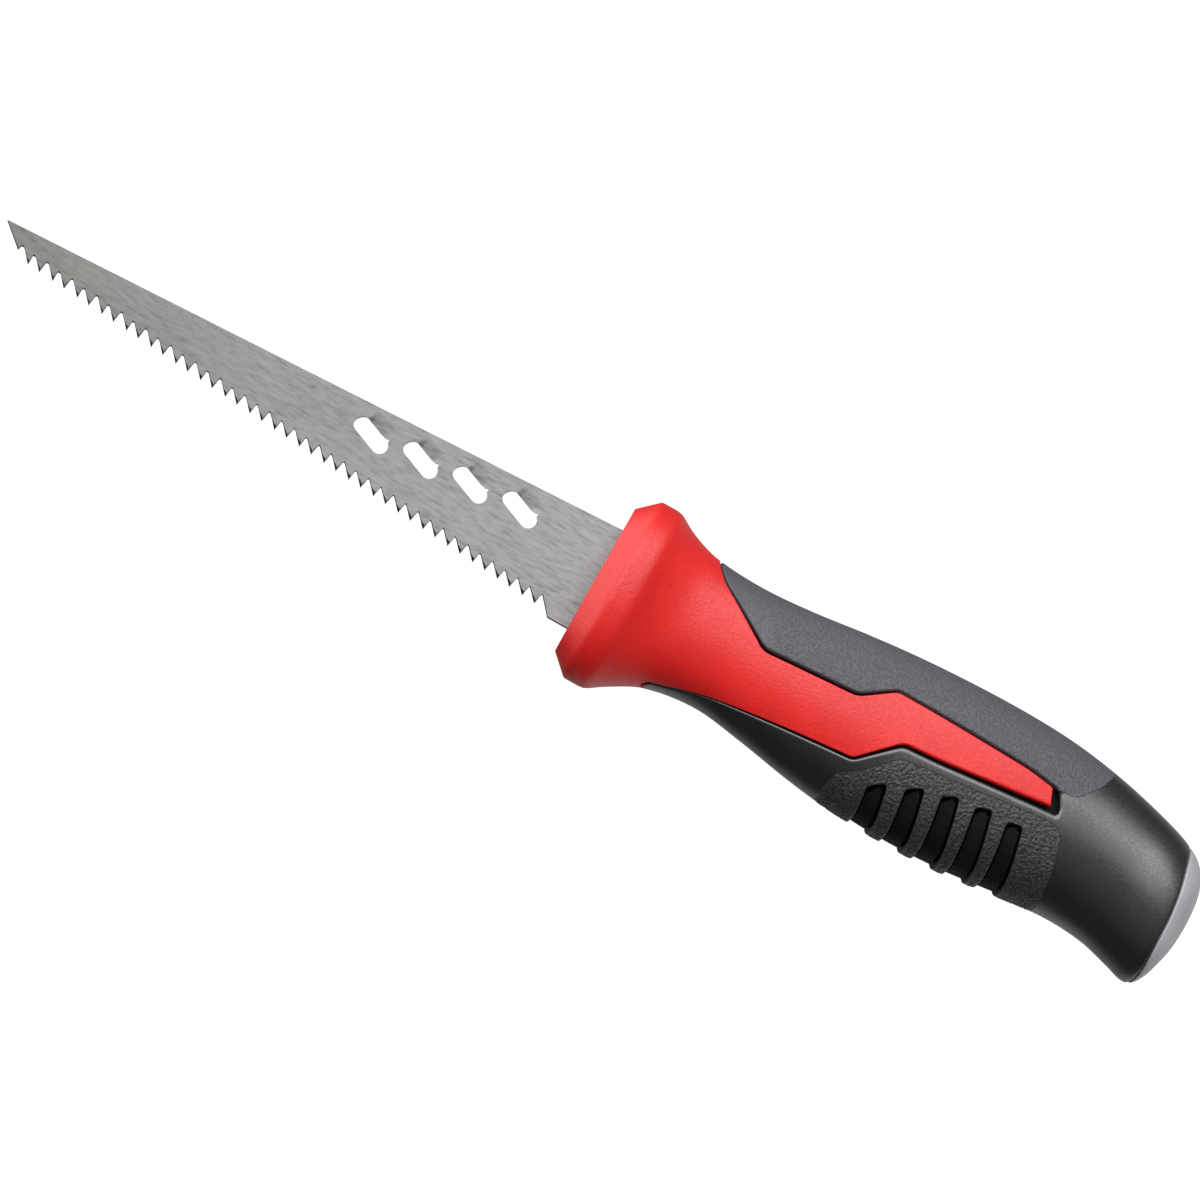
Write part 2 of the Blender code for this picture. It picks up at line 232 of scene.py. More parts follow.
# The guard's front: rings from the rim in to the blade's slot, each a share of the way and a depth.
FACE_RINGS = ((0.12, -0.02), (0.3, 0.02), (0.55, 0.06), (0.8, 0.08), (0.93, 0.06))
SLOT_END_ROOM = 0.35
SLOT_SIDE_ROOM = 0.3
SLOT_LIP = 0.08
SLOT_MOUTH = 0.3
SLOT_MOUTH_SHARE = 0.86
SLOT_MOUTH_ROOM = 0.1
SLOT_ROUND_ENDS = (1.03, 4)

# The pad's grain: raised cells, which fade out near the seams.
PEBBLE_SIZE = 0.68
PEBBLE_HEIGHT = 0.38
PEBBLE_SINK = 0.07
PEBBLE_FULL = 0.5
PEBBLE_MARGIN = 0.55
PEBBLE_FADE = 0.5


def power(value, exponent):
    return np.sign(value) * np.abs(value) ** exponent


def hermite(rows, step):
    """Rows at even steps on a smooth curve through the given rows."""
    rows = np.array(rows)
    last = len(rows) - 1
    out = []
    for index in range(last):
        start, end = rows[index], rows[index + 1]
        before, after = rows[max(index - 1, 0)], rows[min(index + 2, last)]
        span = end[0] - start[0]
        t = np.arange(0, 1, step / span)[:, None]
        slope_start = (end - before) / (end[0] - before[0]) * span
        slope_end = (after - start) / (after[0] - start[0]) * span
        values = (
            start * (2 * t**3 - 3 * t**2 + 1)
            + slope_start * (t**3 - 2 * t**2 + t)
            + end * (3 * t**2 - 2 * t**3)
            + slope_end * (t**3 - t**2)
        )
        values[:, 0] = start[0] + span * t[:, 0]
        out.append(values)
    out.append(rows[-1:])
    return np.concatenate(out)


def along(points):
    """Distance along a polyline of points, starting at 0."""
    steps = np.linalg.norm(np.diff(points, axis=0), axis=1)
    return np.concatenate([[0.0], np.cumsum(steps)])


def resample(points, step):
    distance = along(points)
    count = max(int(round(distance[-1] / step)), 1) + 1
    wanted = np.linspace(0, distance[-1], count)
    return np.stack([np.interp(wanted, distance, column) for column in points.T], 1)


def blurred(rows, sigma):
    """Rows with their corners rounded off over about sigma millimetres."""
    reach = int(3 * sigma / TABLE_STEP)
    weights = np.exp(-0.5 * (np.arange(-reach, reach + 1) * TABLE_STEP / sigma) ** 2)
    weights /= weights.sum()
    padded = np.pad(rows, ((reach, reach), (0, 0)), mode="reflect", reflect_type="odd")
    return np.stack([np.convolve(column, weights, "valid") for column in padded.T], 1)


def body_table():
    """(u, x, middle, half height, half width) along the handle, with every corner softened."""
    guard = resample(np.array(GUARD_ROWS), TABLE_STEP)
    handle = hermite(HANDLE_ROWS, TABLE_STEP)
    end = resample(np.array([HANDLE_ROWS[-1], END_ROW]), TABLE_STEP)
    rows = resample(np.concatenate([guard, handle[1:], end[1:]]), TABLE_STEP)
    crisp, soft = blurred(rows, CRISP), blurred(rows, SOFT)
    x = rows[:, :1]
    share = np.clip((x - 7.5) / 1.5, 0, 1) * np.clip((16.0 - x) / 2.0, 0, 1)
    share = np.maximum(share, np.clip((x - 146.0) / 3.0, 0, 1) * 0.6)
    rows = crisp * (1 - share) + soft * share
    middle, half = (rows[:, 1] + rows[:, 2]) / 2, (rows[:, 1] - rows[:, 2]) / 2
    profile = np.stack([rows[:, 0], (half + rows[:, 3]) / 2], 1)
    return along(profile), rows[:, 0], middle, np.maximum(half, 0.003), np.maximum(rows[:, 3], 0.003)


TU, TX, TM, TH, TW = body_table()
U_END = TU[-1]


def u_at(x):
    return np.interp(x, TX, TU)


def surface(u, v):
    """Points of the handle's outer form and its outward normals, in millimetres about the blade's plane."""
    tiny = 0.02
    phi = v / TURN
    t, q = power(np.sin(phi), 2 / ROUNDNESS), power(np.cos(phi), 2 / ROUNDNESS)
    x, middle, half, width = (np.interp(u, TU, column) for column in (TX, TM, TH, TW))
    slopes = []
    for column in (TX, TM, TH, TW):
        slopes.append((np.interp(u + tiny, TU, column) - np.interp(u - tiny, TU, column)) / (2 * tiny))
    points = np.stack([x, middle + half * t, width * q], -1)
    steep_t, steep_q = power(t, ROUNDNESS - 1), power(q, ROUNDNESS - 1)
    normals = np.stack(
        [
            -(steep_t * slopes[1] / half + np.abs(t) ** ROUNDNESS * slopes[2] / half)
            - np.abs(q) ** ROUNDNESS * slopes[3] / width,
            steep_t / half * slopes[0],
            steep_q / width * slopes[0],
        ],
        -1,
    )
    lengths = np.linalg.norm(normals, axis=-1, keepdims=True)
    normals = np.where(lengths > 1e-9, normals / np.maximum(lengths, 1e-9), [1.0, 0.0, 0.0])
    return points, normals


def plan_line(keys, step):
    """A seam in (u, v): straight runs between its keys, each corner rounded by the key's own size."""
    points = []
    for x, y, size in keys:
        back = np.interp(x, TX, TM + TH)
        belly = np.interp(x, TX, TM - TH)
        points.append((x, back if y == BACK else belly if y == BELLY else y, size))
    fine = [np.array(points[0][:2])]
    for before, here, after in zip(points, points[1:], points[2:]):
        a, b, c = (np.array(p[:2]) for p in (before, here, after))
        size = min(here[2], 0.45 * np.linalg.norm(a - b), 0.45 * np.linalg.norm(c - b))
        start, end = b + (a - b) / np.linalg.norm(a - b) * size, b + (c - b) / np.linalg.norm(c - b) * size
        for t in np.linspace(0, 1, 9):
            fine.append(start * (1 - t) ** 2 + b * 2 * t * (1 - t) + end * t**2)
    fine.append(np.array(points[-1][:2]))
    fine = resample(np.array(fine), 0.02)
    u = u_at(fine[:, 0])
    ratio = (fine[:, 1] - np.interp(u, TU, TM)) / np.interp(u, TU, TH)
    ratio[0], ratio[-1] = np.sign(ratio[0]), np.sign(ratio[-1])
    v = TURN * np.arcsin(power(np.clip(ratio, -1, 1), ROUNDNESS / 2))
    return resample(np.stack([u, v], 1), step)


def inside(points, polygon):
    """Which points lie inside a closed polygon."""
    start, end = polygon, np.roll(polygon, -1, axis=0)
    result = np.zeros(len(points), bool)
    for (ax, ay), (bx, by) in zip(start, end):
        if ay == by:
            continue
        crosses = (points[:, 1] < ay) != (points[:, 1] < by)
        edge_x = ax + (points[:, 1] - ay) * (bx - ax) / (by - ay)
        result ^= crosses & (points[:, 0] < edge_x)
    return result


def distance_to(points, lines):
    """Shortest distance from each point to any of the polylines."""
    best = np.full(len(points), 1e9)
    for line in lines:
        for a, b in zip(line, line[1:]):
            span = b - a
            t = np.clip((points - a) @ span / max(span @ span, 1e-12), 0, 1)
            best = np.minimum(best, np.hypot(*(points - a - t[:, None] * span).T))
    return best


def inward(line, side):
    """Unit normals of a polyline in (u, v), towards the piece."""
    tangent = np.gradient(line, axis=0)
    tangent /= np.maximum(np.linalg.norm(tangent, axis=1, keepdims=True), 1e-9)
    return side * np.stack([-tangent[:, 1], tangent[:, 0]], 1)


def mirror_run(a, b, step, offsets):
    """Points from a to b, closer together near both ends."""
    length = np.linalg.norm(b - a)
    even = np.linspace(0, length, max(int(length / step), 1) + 1)
    wanted = [0.0, length, *offsets, *(length - np.array(offsets))]
    close = [d for d in even if offsets[-1] * 1.3 < d < length - offsets[-1] * 1.3]
    wanted = np.unique(np.clip(np.array([*wanted, *close]), 0, length))
    return a + (b - a) * (wanted / max(length, 1e-9))[:, None]


def half_sheet(chains, vias, step, gap):
    """Triangulates one piece's area on the near side: points (u, v), faces, and the piece's seam lines."""
    lines = [plan_line(keys, SEAM_STEP) for keys, _, _ in chains]
    roll = max(size for _, size, _ in chains)
    rough = [part for line, via in zip(lines, vias) for part in (line, np.reshape(via, (-1, 2)))]
    rough = np.concatenate(rough)
    after = np.roll(rough, -1, axis=0)
    side = np.sign((rough[:, 0] * after[:, 1] - after[:, 0] * rough[:, 1]).sum())
    offsets = [roll * share for share in EDGE_RINGS]
    moved = []
    for line, (_, _, fineness) in zip(lines, chains):
        normal = inward(line, side)
        room = gap * (1 - FINE_SEAM * weight_of(fineness, surface(line[:, 0], line[:, 1])[0]))
        shifted = line + normal * room[:, None]
        for end in (0, -1):
            shifted[end] = (line[end][0] + math.copysign(room[end], normal[end][0]), line[end][1])
        shifted[:, 1] = np.clip(shifted[:, 1], -V_END, V_END)
        moved.append(shifted)
    polygon = []
    for index, line in enumerate(moved):
        stops = [line[-1], *np.reshape(vias[index], (-1, 2)), moved[(index + 1) % len(moved)][0]]
        polygon.append(line)
        for number, (a, b) in enumerate(zip(stops, stops[1:])):
            close = offsets if a[0] != b[0] else [step]
            run = mirror_run(np.array(a), np.array(b), step, close)
            polygon.append(run[1:-1] if number == len(stops) - 2 else run[1:])
    polygon = np.concatenate(polygon)
    extra = []
    for line in moved:
        normal = inward(line, side)
        for offset in offsets:
            ring = line + normal * offset
            extra.append(ring[distance_to(ring, moved) > RING_CLEARANCE * offset])
    low, high = polygon.min(0), polygon.max(0)
    us, vs = np.arange(low[0], high[0], step), np.arange(low[1], high[1], step * ROW_SHARE)
    grid = np.stack(np.meshgrid(us, vs), -1)
    grid[1::2, :, 0] += step / 2
    grid = grid.reshape(-1, 2)
    extra.append(grid[distance_to(grid, moved) > offsets[-1] + step * GRID_CLEARANCE])
    extra = np.concatenate(extra)
    rim = np.concatenate([polygon, polygon[:1]])
    extra = extra[inside(extra, polygon) & (distance_to(extra, [rim]) > RIM_CLEARANCE)]
    extra = extra[np.abs(extra[:, 1]) < V_END - MIRROR_CLEARANCE]
    points = [Vector(p) for p in np.concatenate([polygon, extra])]
    count = len(polygon)
    edges = [(i, (i + 1) % count) for i in range(count)]
    found = geometry.delaunay_2d_cdt(points, edges, [], 0, 1e-5)
    points = np.array([tuple(p) for p in found[0]])
    faces = np.array([tuple(f) for f in found[2]])
    faces = faces[inside(points[faces].mean(1), polygon)]
    corner = points[faces]
    turn = np.cross(corner[:, 1] - corner[:, 0], corner[:, 2] - corner[:, 0])
    faces[turn < 0] = faces[turn < 0][:, ::-1]
    faces = faces[np.abs(turn) > 1e-9]
    return points, faces, moved


def weight_of(fineness, points):
    """How faint a seam is at each point: a number, or a function of the points."""
    return fineness(points) if callable(fineness) else np.full(len(points), float(fineness))


def rim_edges(faces):
    """Directed edges that only one face has."""
    edges = np.concatenate([faces[:, [0, 1]], faces[:, [1, 2]], faces[:, [2, 0]]])
    have = {tuple(edge) for edge in edges}
    return [edge for edge in have if edge[::-1] not in have]


def rolled(distance, roll):
    """How far the surface drops as it nears a seam: a quarter round."""
    near = np.clip(roll - distance, 0, roll)
    return roll - np.sqrt(np.maximum(roll**2 - near**2, 0))


def add_object(name, points, faces, sharp=40.0):
    """A mesh object from millimetre points about the blade's plane."""
    data = bpy.data.meshes.new(name)
    points = np.array(points, float) + (0, 0, MID_Z)
    data.from_pydata([tuple(p * MM) for p in points], [], [tuple(int(i) for i in f) for f in faces])
    obj = bpy.data.objects.new(name, data)
    bpy.context.scene.collection.objects.link(obj)
    tidy_mesh(obj)
    data.shade_smooth()
    data.set_sharp_from_angle(angle=math.radians(sharp))
    return obj


def tidy_mesh(obj):
    """Merges the two halves and turns every face outwards."""
    mesh = bmesh.new()
    mesh.from_mesh(obj.data)
    bmesh.ops.remove_doubles(mesh, verts=mesh.verts, dist=WELD * MM)
    bmesh.ops.dissolve_degenerate(mesh, edges=mesh.edges, dist=SLIVER * MM)
    bmesh.ops.recalc_face_normals(mesh, faces=mesh.faces)
    mesh.to_mesh(obj.data)
    mesh.free()


def mirrored(points, faces):
    """Both sides of the handle from one."""
    count = len(points)
    other = points * (1, 1, -1)
    return np.concatenate([points, other]), [*faces, *[[i + count for i in reversed(face)] for face in faces]]


def shell(name, chains, vias, step, gap=SEAM_GAP, relief=None, close_front=None):
    """One piece of the handle's skin: outer sheet, inner sheet and the walls between them.

    Each chain is a seam, the radius of the edge along it, and how faint that seam is."""
    flat, faces, lines = half_sheet(chains, vias, step, gap)
    base, normals = surface(flat[:, 0], flat[:, 1])
    drop, distance = np.zeros(len(flat)), np.full(len(flat), 1e9)
    for line, (_, roll, fineness) in zip(lines, chains):
        away = distance_to(flat, [line])
        drop = np.maximum(drop, rolled(away, roll * (1 - FINE_ROLL * weight_of(fineness, base))))
        distance = np.minimum(distance, away)
    if relief:
        drop = drop - relief(base, distance)
    outer = base - normals * drop[:, None]
    outer[np.abs(flat[:, 1]) > V_END - ON_EDGE, 2] = 0.0
    inner = base - normals * WALL
    inner[np.abs(flat[:, 1]) > V_END - ON_EDGE, 2] = 0.0
    inner[:, 2] = np.maximum(inner[:, 2], 0.0)
    count = len(flat)
    all_faces = [list(f) for f in faces] + [[i + count for i in reversed(f)] for f in faces]
    points = np.concatenate([outer, inner])
    front = []
    for a, b in rim_edges(faces):
        on_mirror = min(abs(flat[[a, b], 1])) > V_END - ON_EDGE and flat[a, 1] == flat[b, 1]
        on_end = min(flat[[a, b], 0]) > U_END - ON_EDGE
        on_front = max(flat[[a, b], 0]) < ON_EDGE
        if on_front:
            front.append((a, b))
        if not (on_mirror or on_end or on_front):
            all_faces.append([b, a, a + count, b + count])
    if close_front:
        points, extra = close_front(flat, points, count, front)
        all_faces += extra
    return add_object(name, *mirrored(points, all_faces))


def guard_face(flat, points, count, front):
    """Closes the guard's front round the blade: rings from its outer edge in to the slot, and back inside."""
    column = sorted({i for edge in front for i in edge}, key=lambda i: flat[i, 1])
    phi = flat[column, 1] / TURN
    low, high = HEEL_DROP - SLOT_END_ROOM, SPINE_AT_GUARD + SLOT_END_ROOM
    half_slot = HALF_THICKNESS + SLOT_SIDE_ROOM
    t, q = power(np.sin(phi), 2 / ROUNDNESS), power(np.cos(phi), 2 / ROUNDNESS)
    slot_y = (low + high) / 2 + (high - low) / 2 * np.clip(t * SLOT_ROUND_ENDS[0], -1, 1)
    slot_z = half_slot * np.clip(q * SLOT_ROUND_ENDS[1], 0, 1)
    edge = points[column]
    slot = np.stack([np.full(len(column), edge[0, 0]), slot_y, slot_z], 1)
    rings = []
    for share, back in FACE_RINGS:
        ring = edge * (1 - share) + slot * share
        ring[:, 0] += back
        rings.append(ring)
    lip = slot.copy()
    lip[:, 0] += SLOT_LIP
    mouth = slot.copy()
    mouth[:, 0] += SLOT_MOUTH
    mouth[:, 2] *= SLOT_MOUTH_SHARE
    mouth[:, 1] = np.clip(mouth[:, 1], low + SLOT_MOUTH_ROOM, high - SLOT_MOUTH_ROOM)
    deep = mouth.copy()
    deep[:, 0] = ROOT_DEPTH + SLOT_MOUTH
    rings += [lip, mouth, deep]
    for ring in rings:
        ring[[0, -1], 2] = 0.0
    indices, extra, total = [column], [], len(points)
    for ring in rings:
        indices.append(list(range(total, total + len(column))))
        total += len(column)
    indices.append([i + count for i in column])
    for ring, after in zip(indices, indices[1:]):
        for k in range(len(column) - 1):
            extra.append([ring[k], ring[k + 1], after[k + 1], after[k]])
    return np.concatenate([points, *rings]), extra


def pebbles(base, distance):
    """Coarse rubber grain, in millimetres, which fades out towards the seams."""
    height = np.empty(len(base))
    for index, point in enumerate(base):
        near = noise.voronoi(Vector(point) / PEBBLE_SIZE)[0]
        height[index] = min(near[1] - near[0], PEBBLE_FULL)
    fade = np.clip((distance - PEBBLE_MARGIN) / PEBBLE_FADE, 0, 1)
    return (height * PEBBLE_HEIGHT - PEBBLE_SINK) * fade


def slot_chain(index):
    """The outline of one finger slot from its rear foot over the top to its front foot."""
    crown, feet = [], []
    for side, lean in ((1, SLOT_REAR_LEAN), (-1, SLOT_FRONT_LEAN)):
        offset = side * SLOT_HALF_WIDTH
        x = SLOT_FIRST_X + SLOT_PITCH * index + offset
        rank = index + offset / SLOT_PITCH
        top = SLOT_TOP - SLOT_TOP_FALL * (1 - rank / (SLOT_COUNT - 1)) ** 2 + SLOT_TOP_SLANT * offset
        foot = x + lean * (top - np.interp(x + 3.0, TX, TM - TH))
        crown.append((x, top, SLOT_CORNER))
        feet.append((foot, BELLY, 0.0))
    return (feet[0], *crown, feet[1])


def rear_fine(points):
    """1 along the faint rear seam of the upper grip, 0 along the open grooves further forward."""
    share = np.clip((points[:, :2] - FAINT_FROM) / FAINT_OVER, 0, 1)
    return share[:, 0] * share[:, 1]


def make_handle(looks):
    stripe = (*STRIPE_BELLY, *STRIPE_END, *STRIPE_BACK)
    upper = (*reversed(STRIPE_BACK), (110.9, 6.3, 1.0), WINDOW_END[1], *UPPER_REAR)
    body_front = (*STRIPE_BELLY, *WINDOW_END, *UPPER_REAR)
    slots = [slot_chain(index) for index in reversed(range(SLOT_COUNT))]
    ends = [(0.0, V_END), (0.0, -V_END)]
    tail = [(U_END, -V_END), (U_END, V_END)]
    pieces = {
        "guard": shell("guard_shell", [(stripe, 0.25, 0)], [ends], SKIN_STEP, close_front=guard_face),
        "upper_grip": shell("upper_grip_shell", [(upper, 0.35, rear_fine)], [[]], SKIN_STEP, gap=0.42),
        "grip_body": shell(
            "grip_body_shell",
            [(body_front, 0.75, rear_fine), (BUTT_SEAM, 0.4, 0.2), (PAD_LINE[::-1], 0.4, 1)],
            [[], [], []],
            SKIN_STEP,
            gap=0.28,
        ),
        "finger_pad": shell(
            "finger_pad_shell",
            [(PAD_LINE, 0.4, 1), *((slot, 0.28, 0) for slot in slots)],
            [[]] * (SLOT_COUNT + 1),
            PAD_STEP,
            relief=pebbles,
        ),
        "butt_cap": shell("butt_cap_shell", [(BUTT_SEAM, 0.5, 0.2)], [tail], CAP_STEP),
    }
    for node, obj in pieces.items():
        place(obj, node, looks[node])


def place(obj, node, look):
    slot, material = look
    obj.data.materials.append(material)
    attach(obj, "root")
    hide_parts(node)


def tooth_points(index):
    """One tooth from its rear gullet to its point and down its long flank, on the near face and the far face.

    Broad and narrow teeth take turns, and both change a little from the tip towards the heel."""
    pitch = (LAST_TOOTH - FIRST_TOOTH) / (TOOTH_COUNT - 1)
    fall = (LAST_GULLET_Y - FIRST_GULLET_Y) / (LAST_TOOTH - FIRST_TOOTH)
    narrow = index % 2
    settled = min(index / TEETH_SETTLE, 1.0)

    def mixed(pair):
        return pair[0] + (pair[1] - pair[0]) * settled

    point_x = FIRST_TOOTH + pitch * index
    base = FIRST_GULLET_Y + fall * (point_x - FIRST_TOOTH)
    depth = mixed(TOOTH_DEPTH[narrow]) if index else FIRST_TOOTH_DEPTH
    tip = np.array([point_x + mixed(TIP_SHIFT[narrow]), base - depth])
    root = np.array([point_x + mixed(TOOTH_RAKE), base + mixed(GULLET_LIFT[narrow])])
    foot = np.array([point_x - LONG_FLANK, base - fall * pitch + mixed(GULLET_LIFT[1 - narrow])])
    land_end = point_x + pitch - LONG_FLANK - LAND_GAP
    rear, front = tip - root, tip - foot
    rows = [
        (np.array([land_end, root[1]]), 0.0),
        (np.array([min(root[0] + 0.22, land_end - 0.05), root[1]]), 0.0),
        (np.array([root[0] + 0.06, root[1] - 0.07]), 0.0),
        (root + rear * FLANK_FOOT, 0.0),
        (root + rear * FLANK_MIDDLE, 0.0),
        (root + rear * FLANK_SHOULDER, -1.0),
        (tip, 0.0),
        (foot + front * FLANK_SHOULDER, 1.0),
        (foot + front * FLANK_MIDDLE, 0.0),
        (foot + front * FLANK_FOOT, 0.0),
        (foot + (0.02, -0.08), 0.0),
    ]
    if index == 0:
        rows = rows[:7]
    scale = depth / TOOTH_DEPTH[narrow][1]
    sides = []
    for near in (True, False):
        outline = []
        for (x, y), shift in rows:
            if near and shift:
                x += shift * GROUND_FLANKS[narrow][shift < 0] * scale
            if near and (x, y) == tuple(tip):
                y += GROUND_TIP[narrow] * scale
            outline.append((x, y, HALF_THICKNESS if near else -HALF_THICKNESS))
        sides.append(outline)
    return sides


def rasp_frame(index):
    middle = np.array([RASP_FIRST[0] + RASP_PITCH[0] * index, RASP_FIRST[1] + RASP_PITCH[1] * index])
    axis = np.array([math.cos(RASP_SLOPE), math.sin(RASP_SLOPE)])
    return middle, axis, np.array([-axis[1], axis[0]])


def rasp_outline(index):
    """A slanted bar with round ends, nicked where the press sheared the rear end of its upper edge."""
    middle, axis, across = rasp_frame(index)
    outline = []
    for end in (1, -1):
        for turn in np.linspace(-90, 45 if end == 1 else 90, RASP_END_POINTS):
            angle = math.radians(turn)
            a, b = RASP_HALF_LENGTH + RASP_RADIUS * math.cos(angle), RASP_RADIUS * math.sin(angle)
            outline.append((end * a, end * b))
        straight = np.linspace(RASP_HALF_LENGTH, -RASP_HALF_LENGTH, RASP_END_POINTS)[1:-1]
        if end == 1:
            outline += [(a, RASP_RADIUS + b) for a, b in RASP_NICK]
            straight = straight[straight < RASP_NICK[-1][0] - 0.2]
        outline += [(end * a, end * RASP_RADIUS) for a in straight]
    return np.array([middle + axis * a + across * b for a, b in outline])


def pressed(points):
    """How far the rasp's upper edges are pushed down, in millimetres."""
    depth = np.zeros(len(points))
    for index in range(RASP_COUNT):
        middle, axis, across = rasp_frame(index)
        a, b = (points - middle) @ axis, (points - middle) @ across
        fall = np.clip(1 - (b - RASP_RADIUS) / PRESS_REACH, 0, 1)
        window = np.clip((a + PRESS_FRONT) / PRESS_FRONT_FADE, 0, 1)
        window = window * np.clip((PRESS_REAR - a) / PRESS_REAR_FADE, 0, 1)
        rise = np.clip((b - PRESS_START) / PRESS_RISE, 0, 1)
        depth += np.where(b > PRESS_START, PRESS_DEPTH * fall**PRESS_CURVE * window * rise, 0)
    return depth


def make_blade(look):
    near, far = [], []
    spine = [(TANG_LENGTH, TANG_HALF_HEIGHT - TANG_TAPER), (TANG_SHOULDER, TANG_HALF_HEIGHT)]
    spine += [(ROOT_DEPTH, TANG_HALF_HEIGHT), (ROOT_DEPTH, SPINE_AT_GUARD), (-BLADE_REACH, SPINE_AT_TIP)]
    belly = [(HEEL_FRONT, HEEL_DROP), (ROOT_DEPTH, HEEL_DROP), (ROOT_DEPTH, -TANG_HALF_HEIGHT)]
    belly += [(TANG_SHOULDER, -TANG_HALF_HEIGHT), (TANG_LENGTH, TANG_TAPER - TANG_HALF_HEIGHT)]
    for x, y in spine:
        near.append((x, y, HALF_THICKNESS))
        far.append((x, y, -HALF_THICKNESS))
    for index in range(TOOTH_COUNT):
        near_side, far_side = tooth_points(index)
        near += near_side[::-1]
        far += far_side[::-1]
    for x, y in belly:
        near.append((x, y, HALF_THICKNESS))
        far.append((x, y, -HALF_THICKNESS))
    loops = [(np.array(near), np.array(far))]
    for index in range(RASP_COUNT):
        hole = rasp_outline(index)
        push = pressed(hole)
        middle, _, across = rasp_frame(index)
        breakout = np.clip((hole - middle) @ across / RASP_RADIUS, 0, 1) * RASP_BREAKOUT
        near_rim = np.column_stack([hole, HALF_THICKNESS - push])
        loops.append((near_rim, np.column_stack([hole + np.outer(breakout, across), -HALF_THICKNESS - push])))
    turns = np.linspace(0, 2 * math.pi, TANG_HOLE_SIDES, endpoint=False)
    for centre in TANG_HOLES:
        ring = np.stack([np.cos(turns), np.sin(turns)], 1) * TANG_HOLE_RADIUS + centre
        levels = (HALF_THICKNESS, -HALF_THICKNESS)
        loops.append(tuple(np.column_stack([ring, np.full(TANG_HOLE_SIDES, z)]) for z in levels))
    lattice = []
    for index in range(RASP_COUNT):
        middle, axis, across = rasp_frame(index)
        for a in np.arange(*LATTICE_ALONG, LATTICE_STEP):
            for b in np.arange(*(RASP_RADIUS + np.array(LATTICE_ACROSS)), LATTICE_STEP):
                lattice.append(middle + axis * a + across * b)
    lattice = np.array(lattice)
    rims = [np.concatenate([rim[:, :2], rim[:1, :2]]) for loop in loops for rim in loop]
    lattice = lattice[distance_to(lattice, rims) > LATTICE_CLEARANCE]
    for rim in rims[2:]:
        lattice = lattice[~inside(lattice, rim)]
    points, faces = [], []
    for level, side in ((0, 1), (1, -1)):
        rims = [loop[level] for loop in loops]
        flat = [Vector(p[:2]) for rim in rims for p in rim] + [Vector(p) for p in lattice]
        edges, start = [], 0
        for rim in rims:
            edges += [(start + i, start + (i + 1) % len(rim)) for i in range(len(rim))]
            start += len(rim)
        found = geometry.delaunay_2d_cdt(flat, edges, [], 0, 1e-6)
        triangles = np.array([tuple(f) for f in found[2]])
        plan = np.array([tuple(p) for p in found[0]])
        keep = np.zeros(len(triangles), bool)
        for rim in rims:
            keep ^= inside(plan[triangles].mean(1), rim[:, :2])
        heights = np.concatenate([*[rim[:, 2] for rim in rims], side * HALF_THICKNESS - pressed(lattice)])
        base = len(points)
        origin = [ids[0] for ids in found[3]]
        points += [(*plan[i], heights[origin[i]]) for i in range(len(plan))]
        faces += [[base + i for i in face] for face in triangles[keep]]
    offset, base = 0, len(points)
    for near_rim, far_rim in loops:
        count = len(near_rim)
        points += [tuple(p) for p in near_rim] + [tuple(p) for p in far_rim]
        for i in range(count):
            j = (i + 1) % count
            faces.append([base + i, base + j, base + count + j, base + count + i])
        base += 2 * count
    obj = add_object("blade_steel_sheet", points, faces, sharp=14.0)
    place(obj, "blade", look)


# Materials.


# The upper grip is smooth in front of this slanting line, and grained behind it, in metres.
NOSE_LEAN = (0.792, 0.61, 0.0)
NOSE_LINE = (0.0356, 0.0361)
# The steel's colour at the tip and at the guard; the darker tip is painted shade, standing in for less light
# falling along the flat blade.
STEEL_TIP_SHADED = (0.094, 0.092, 0.088)
STEEL_ROOT = (0.162, 0.162, 0.162)


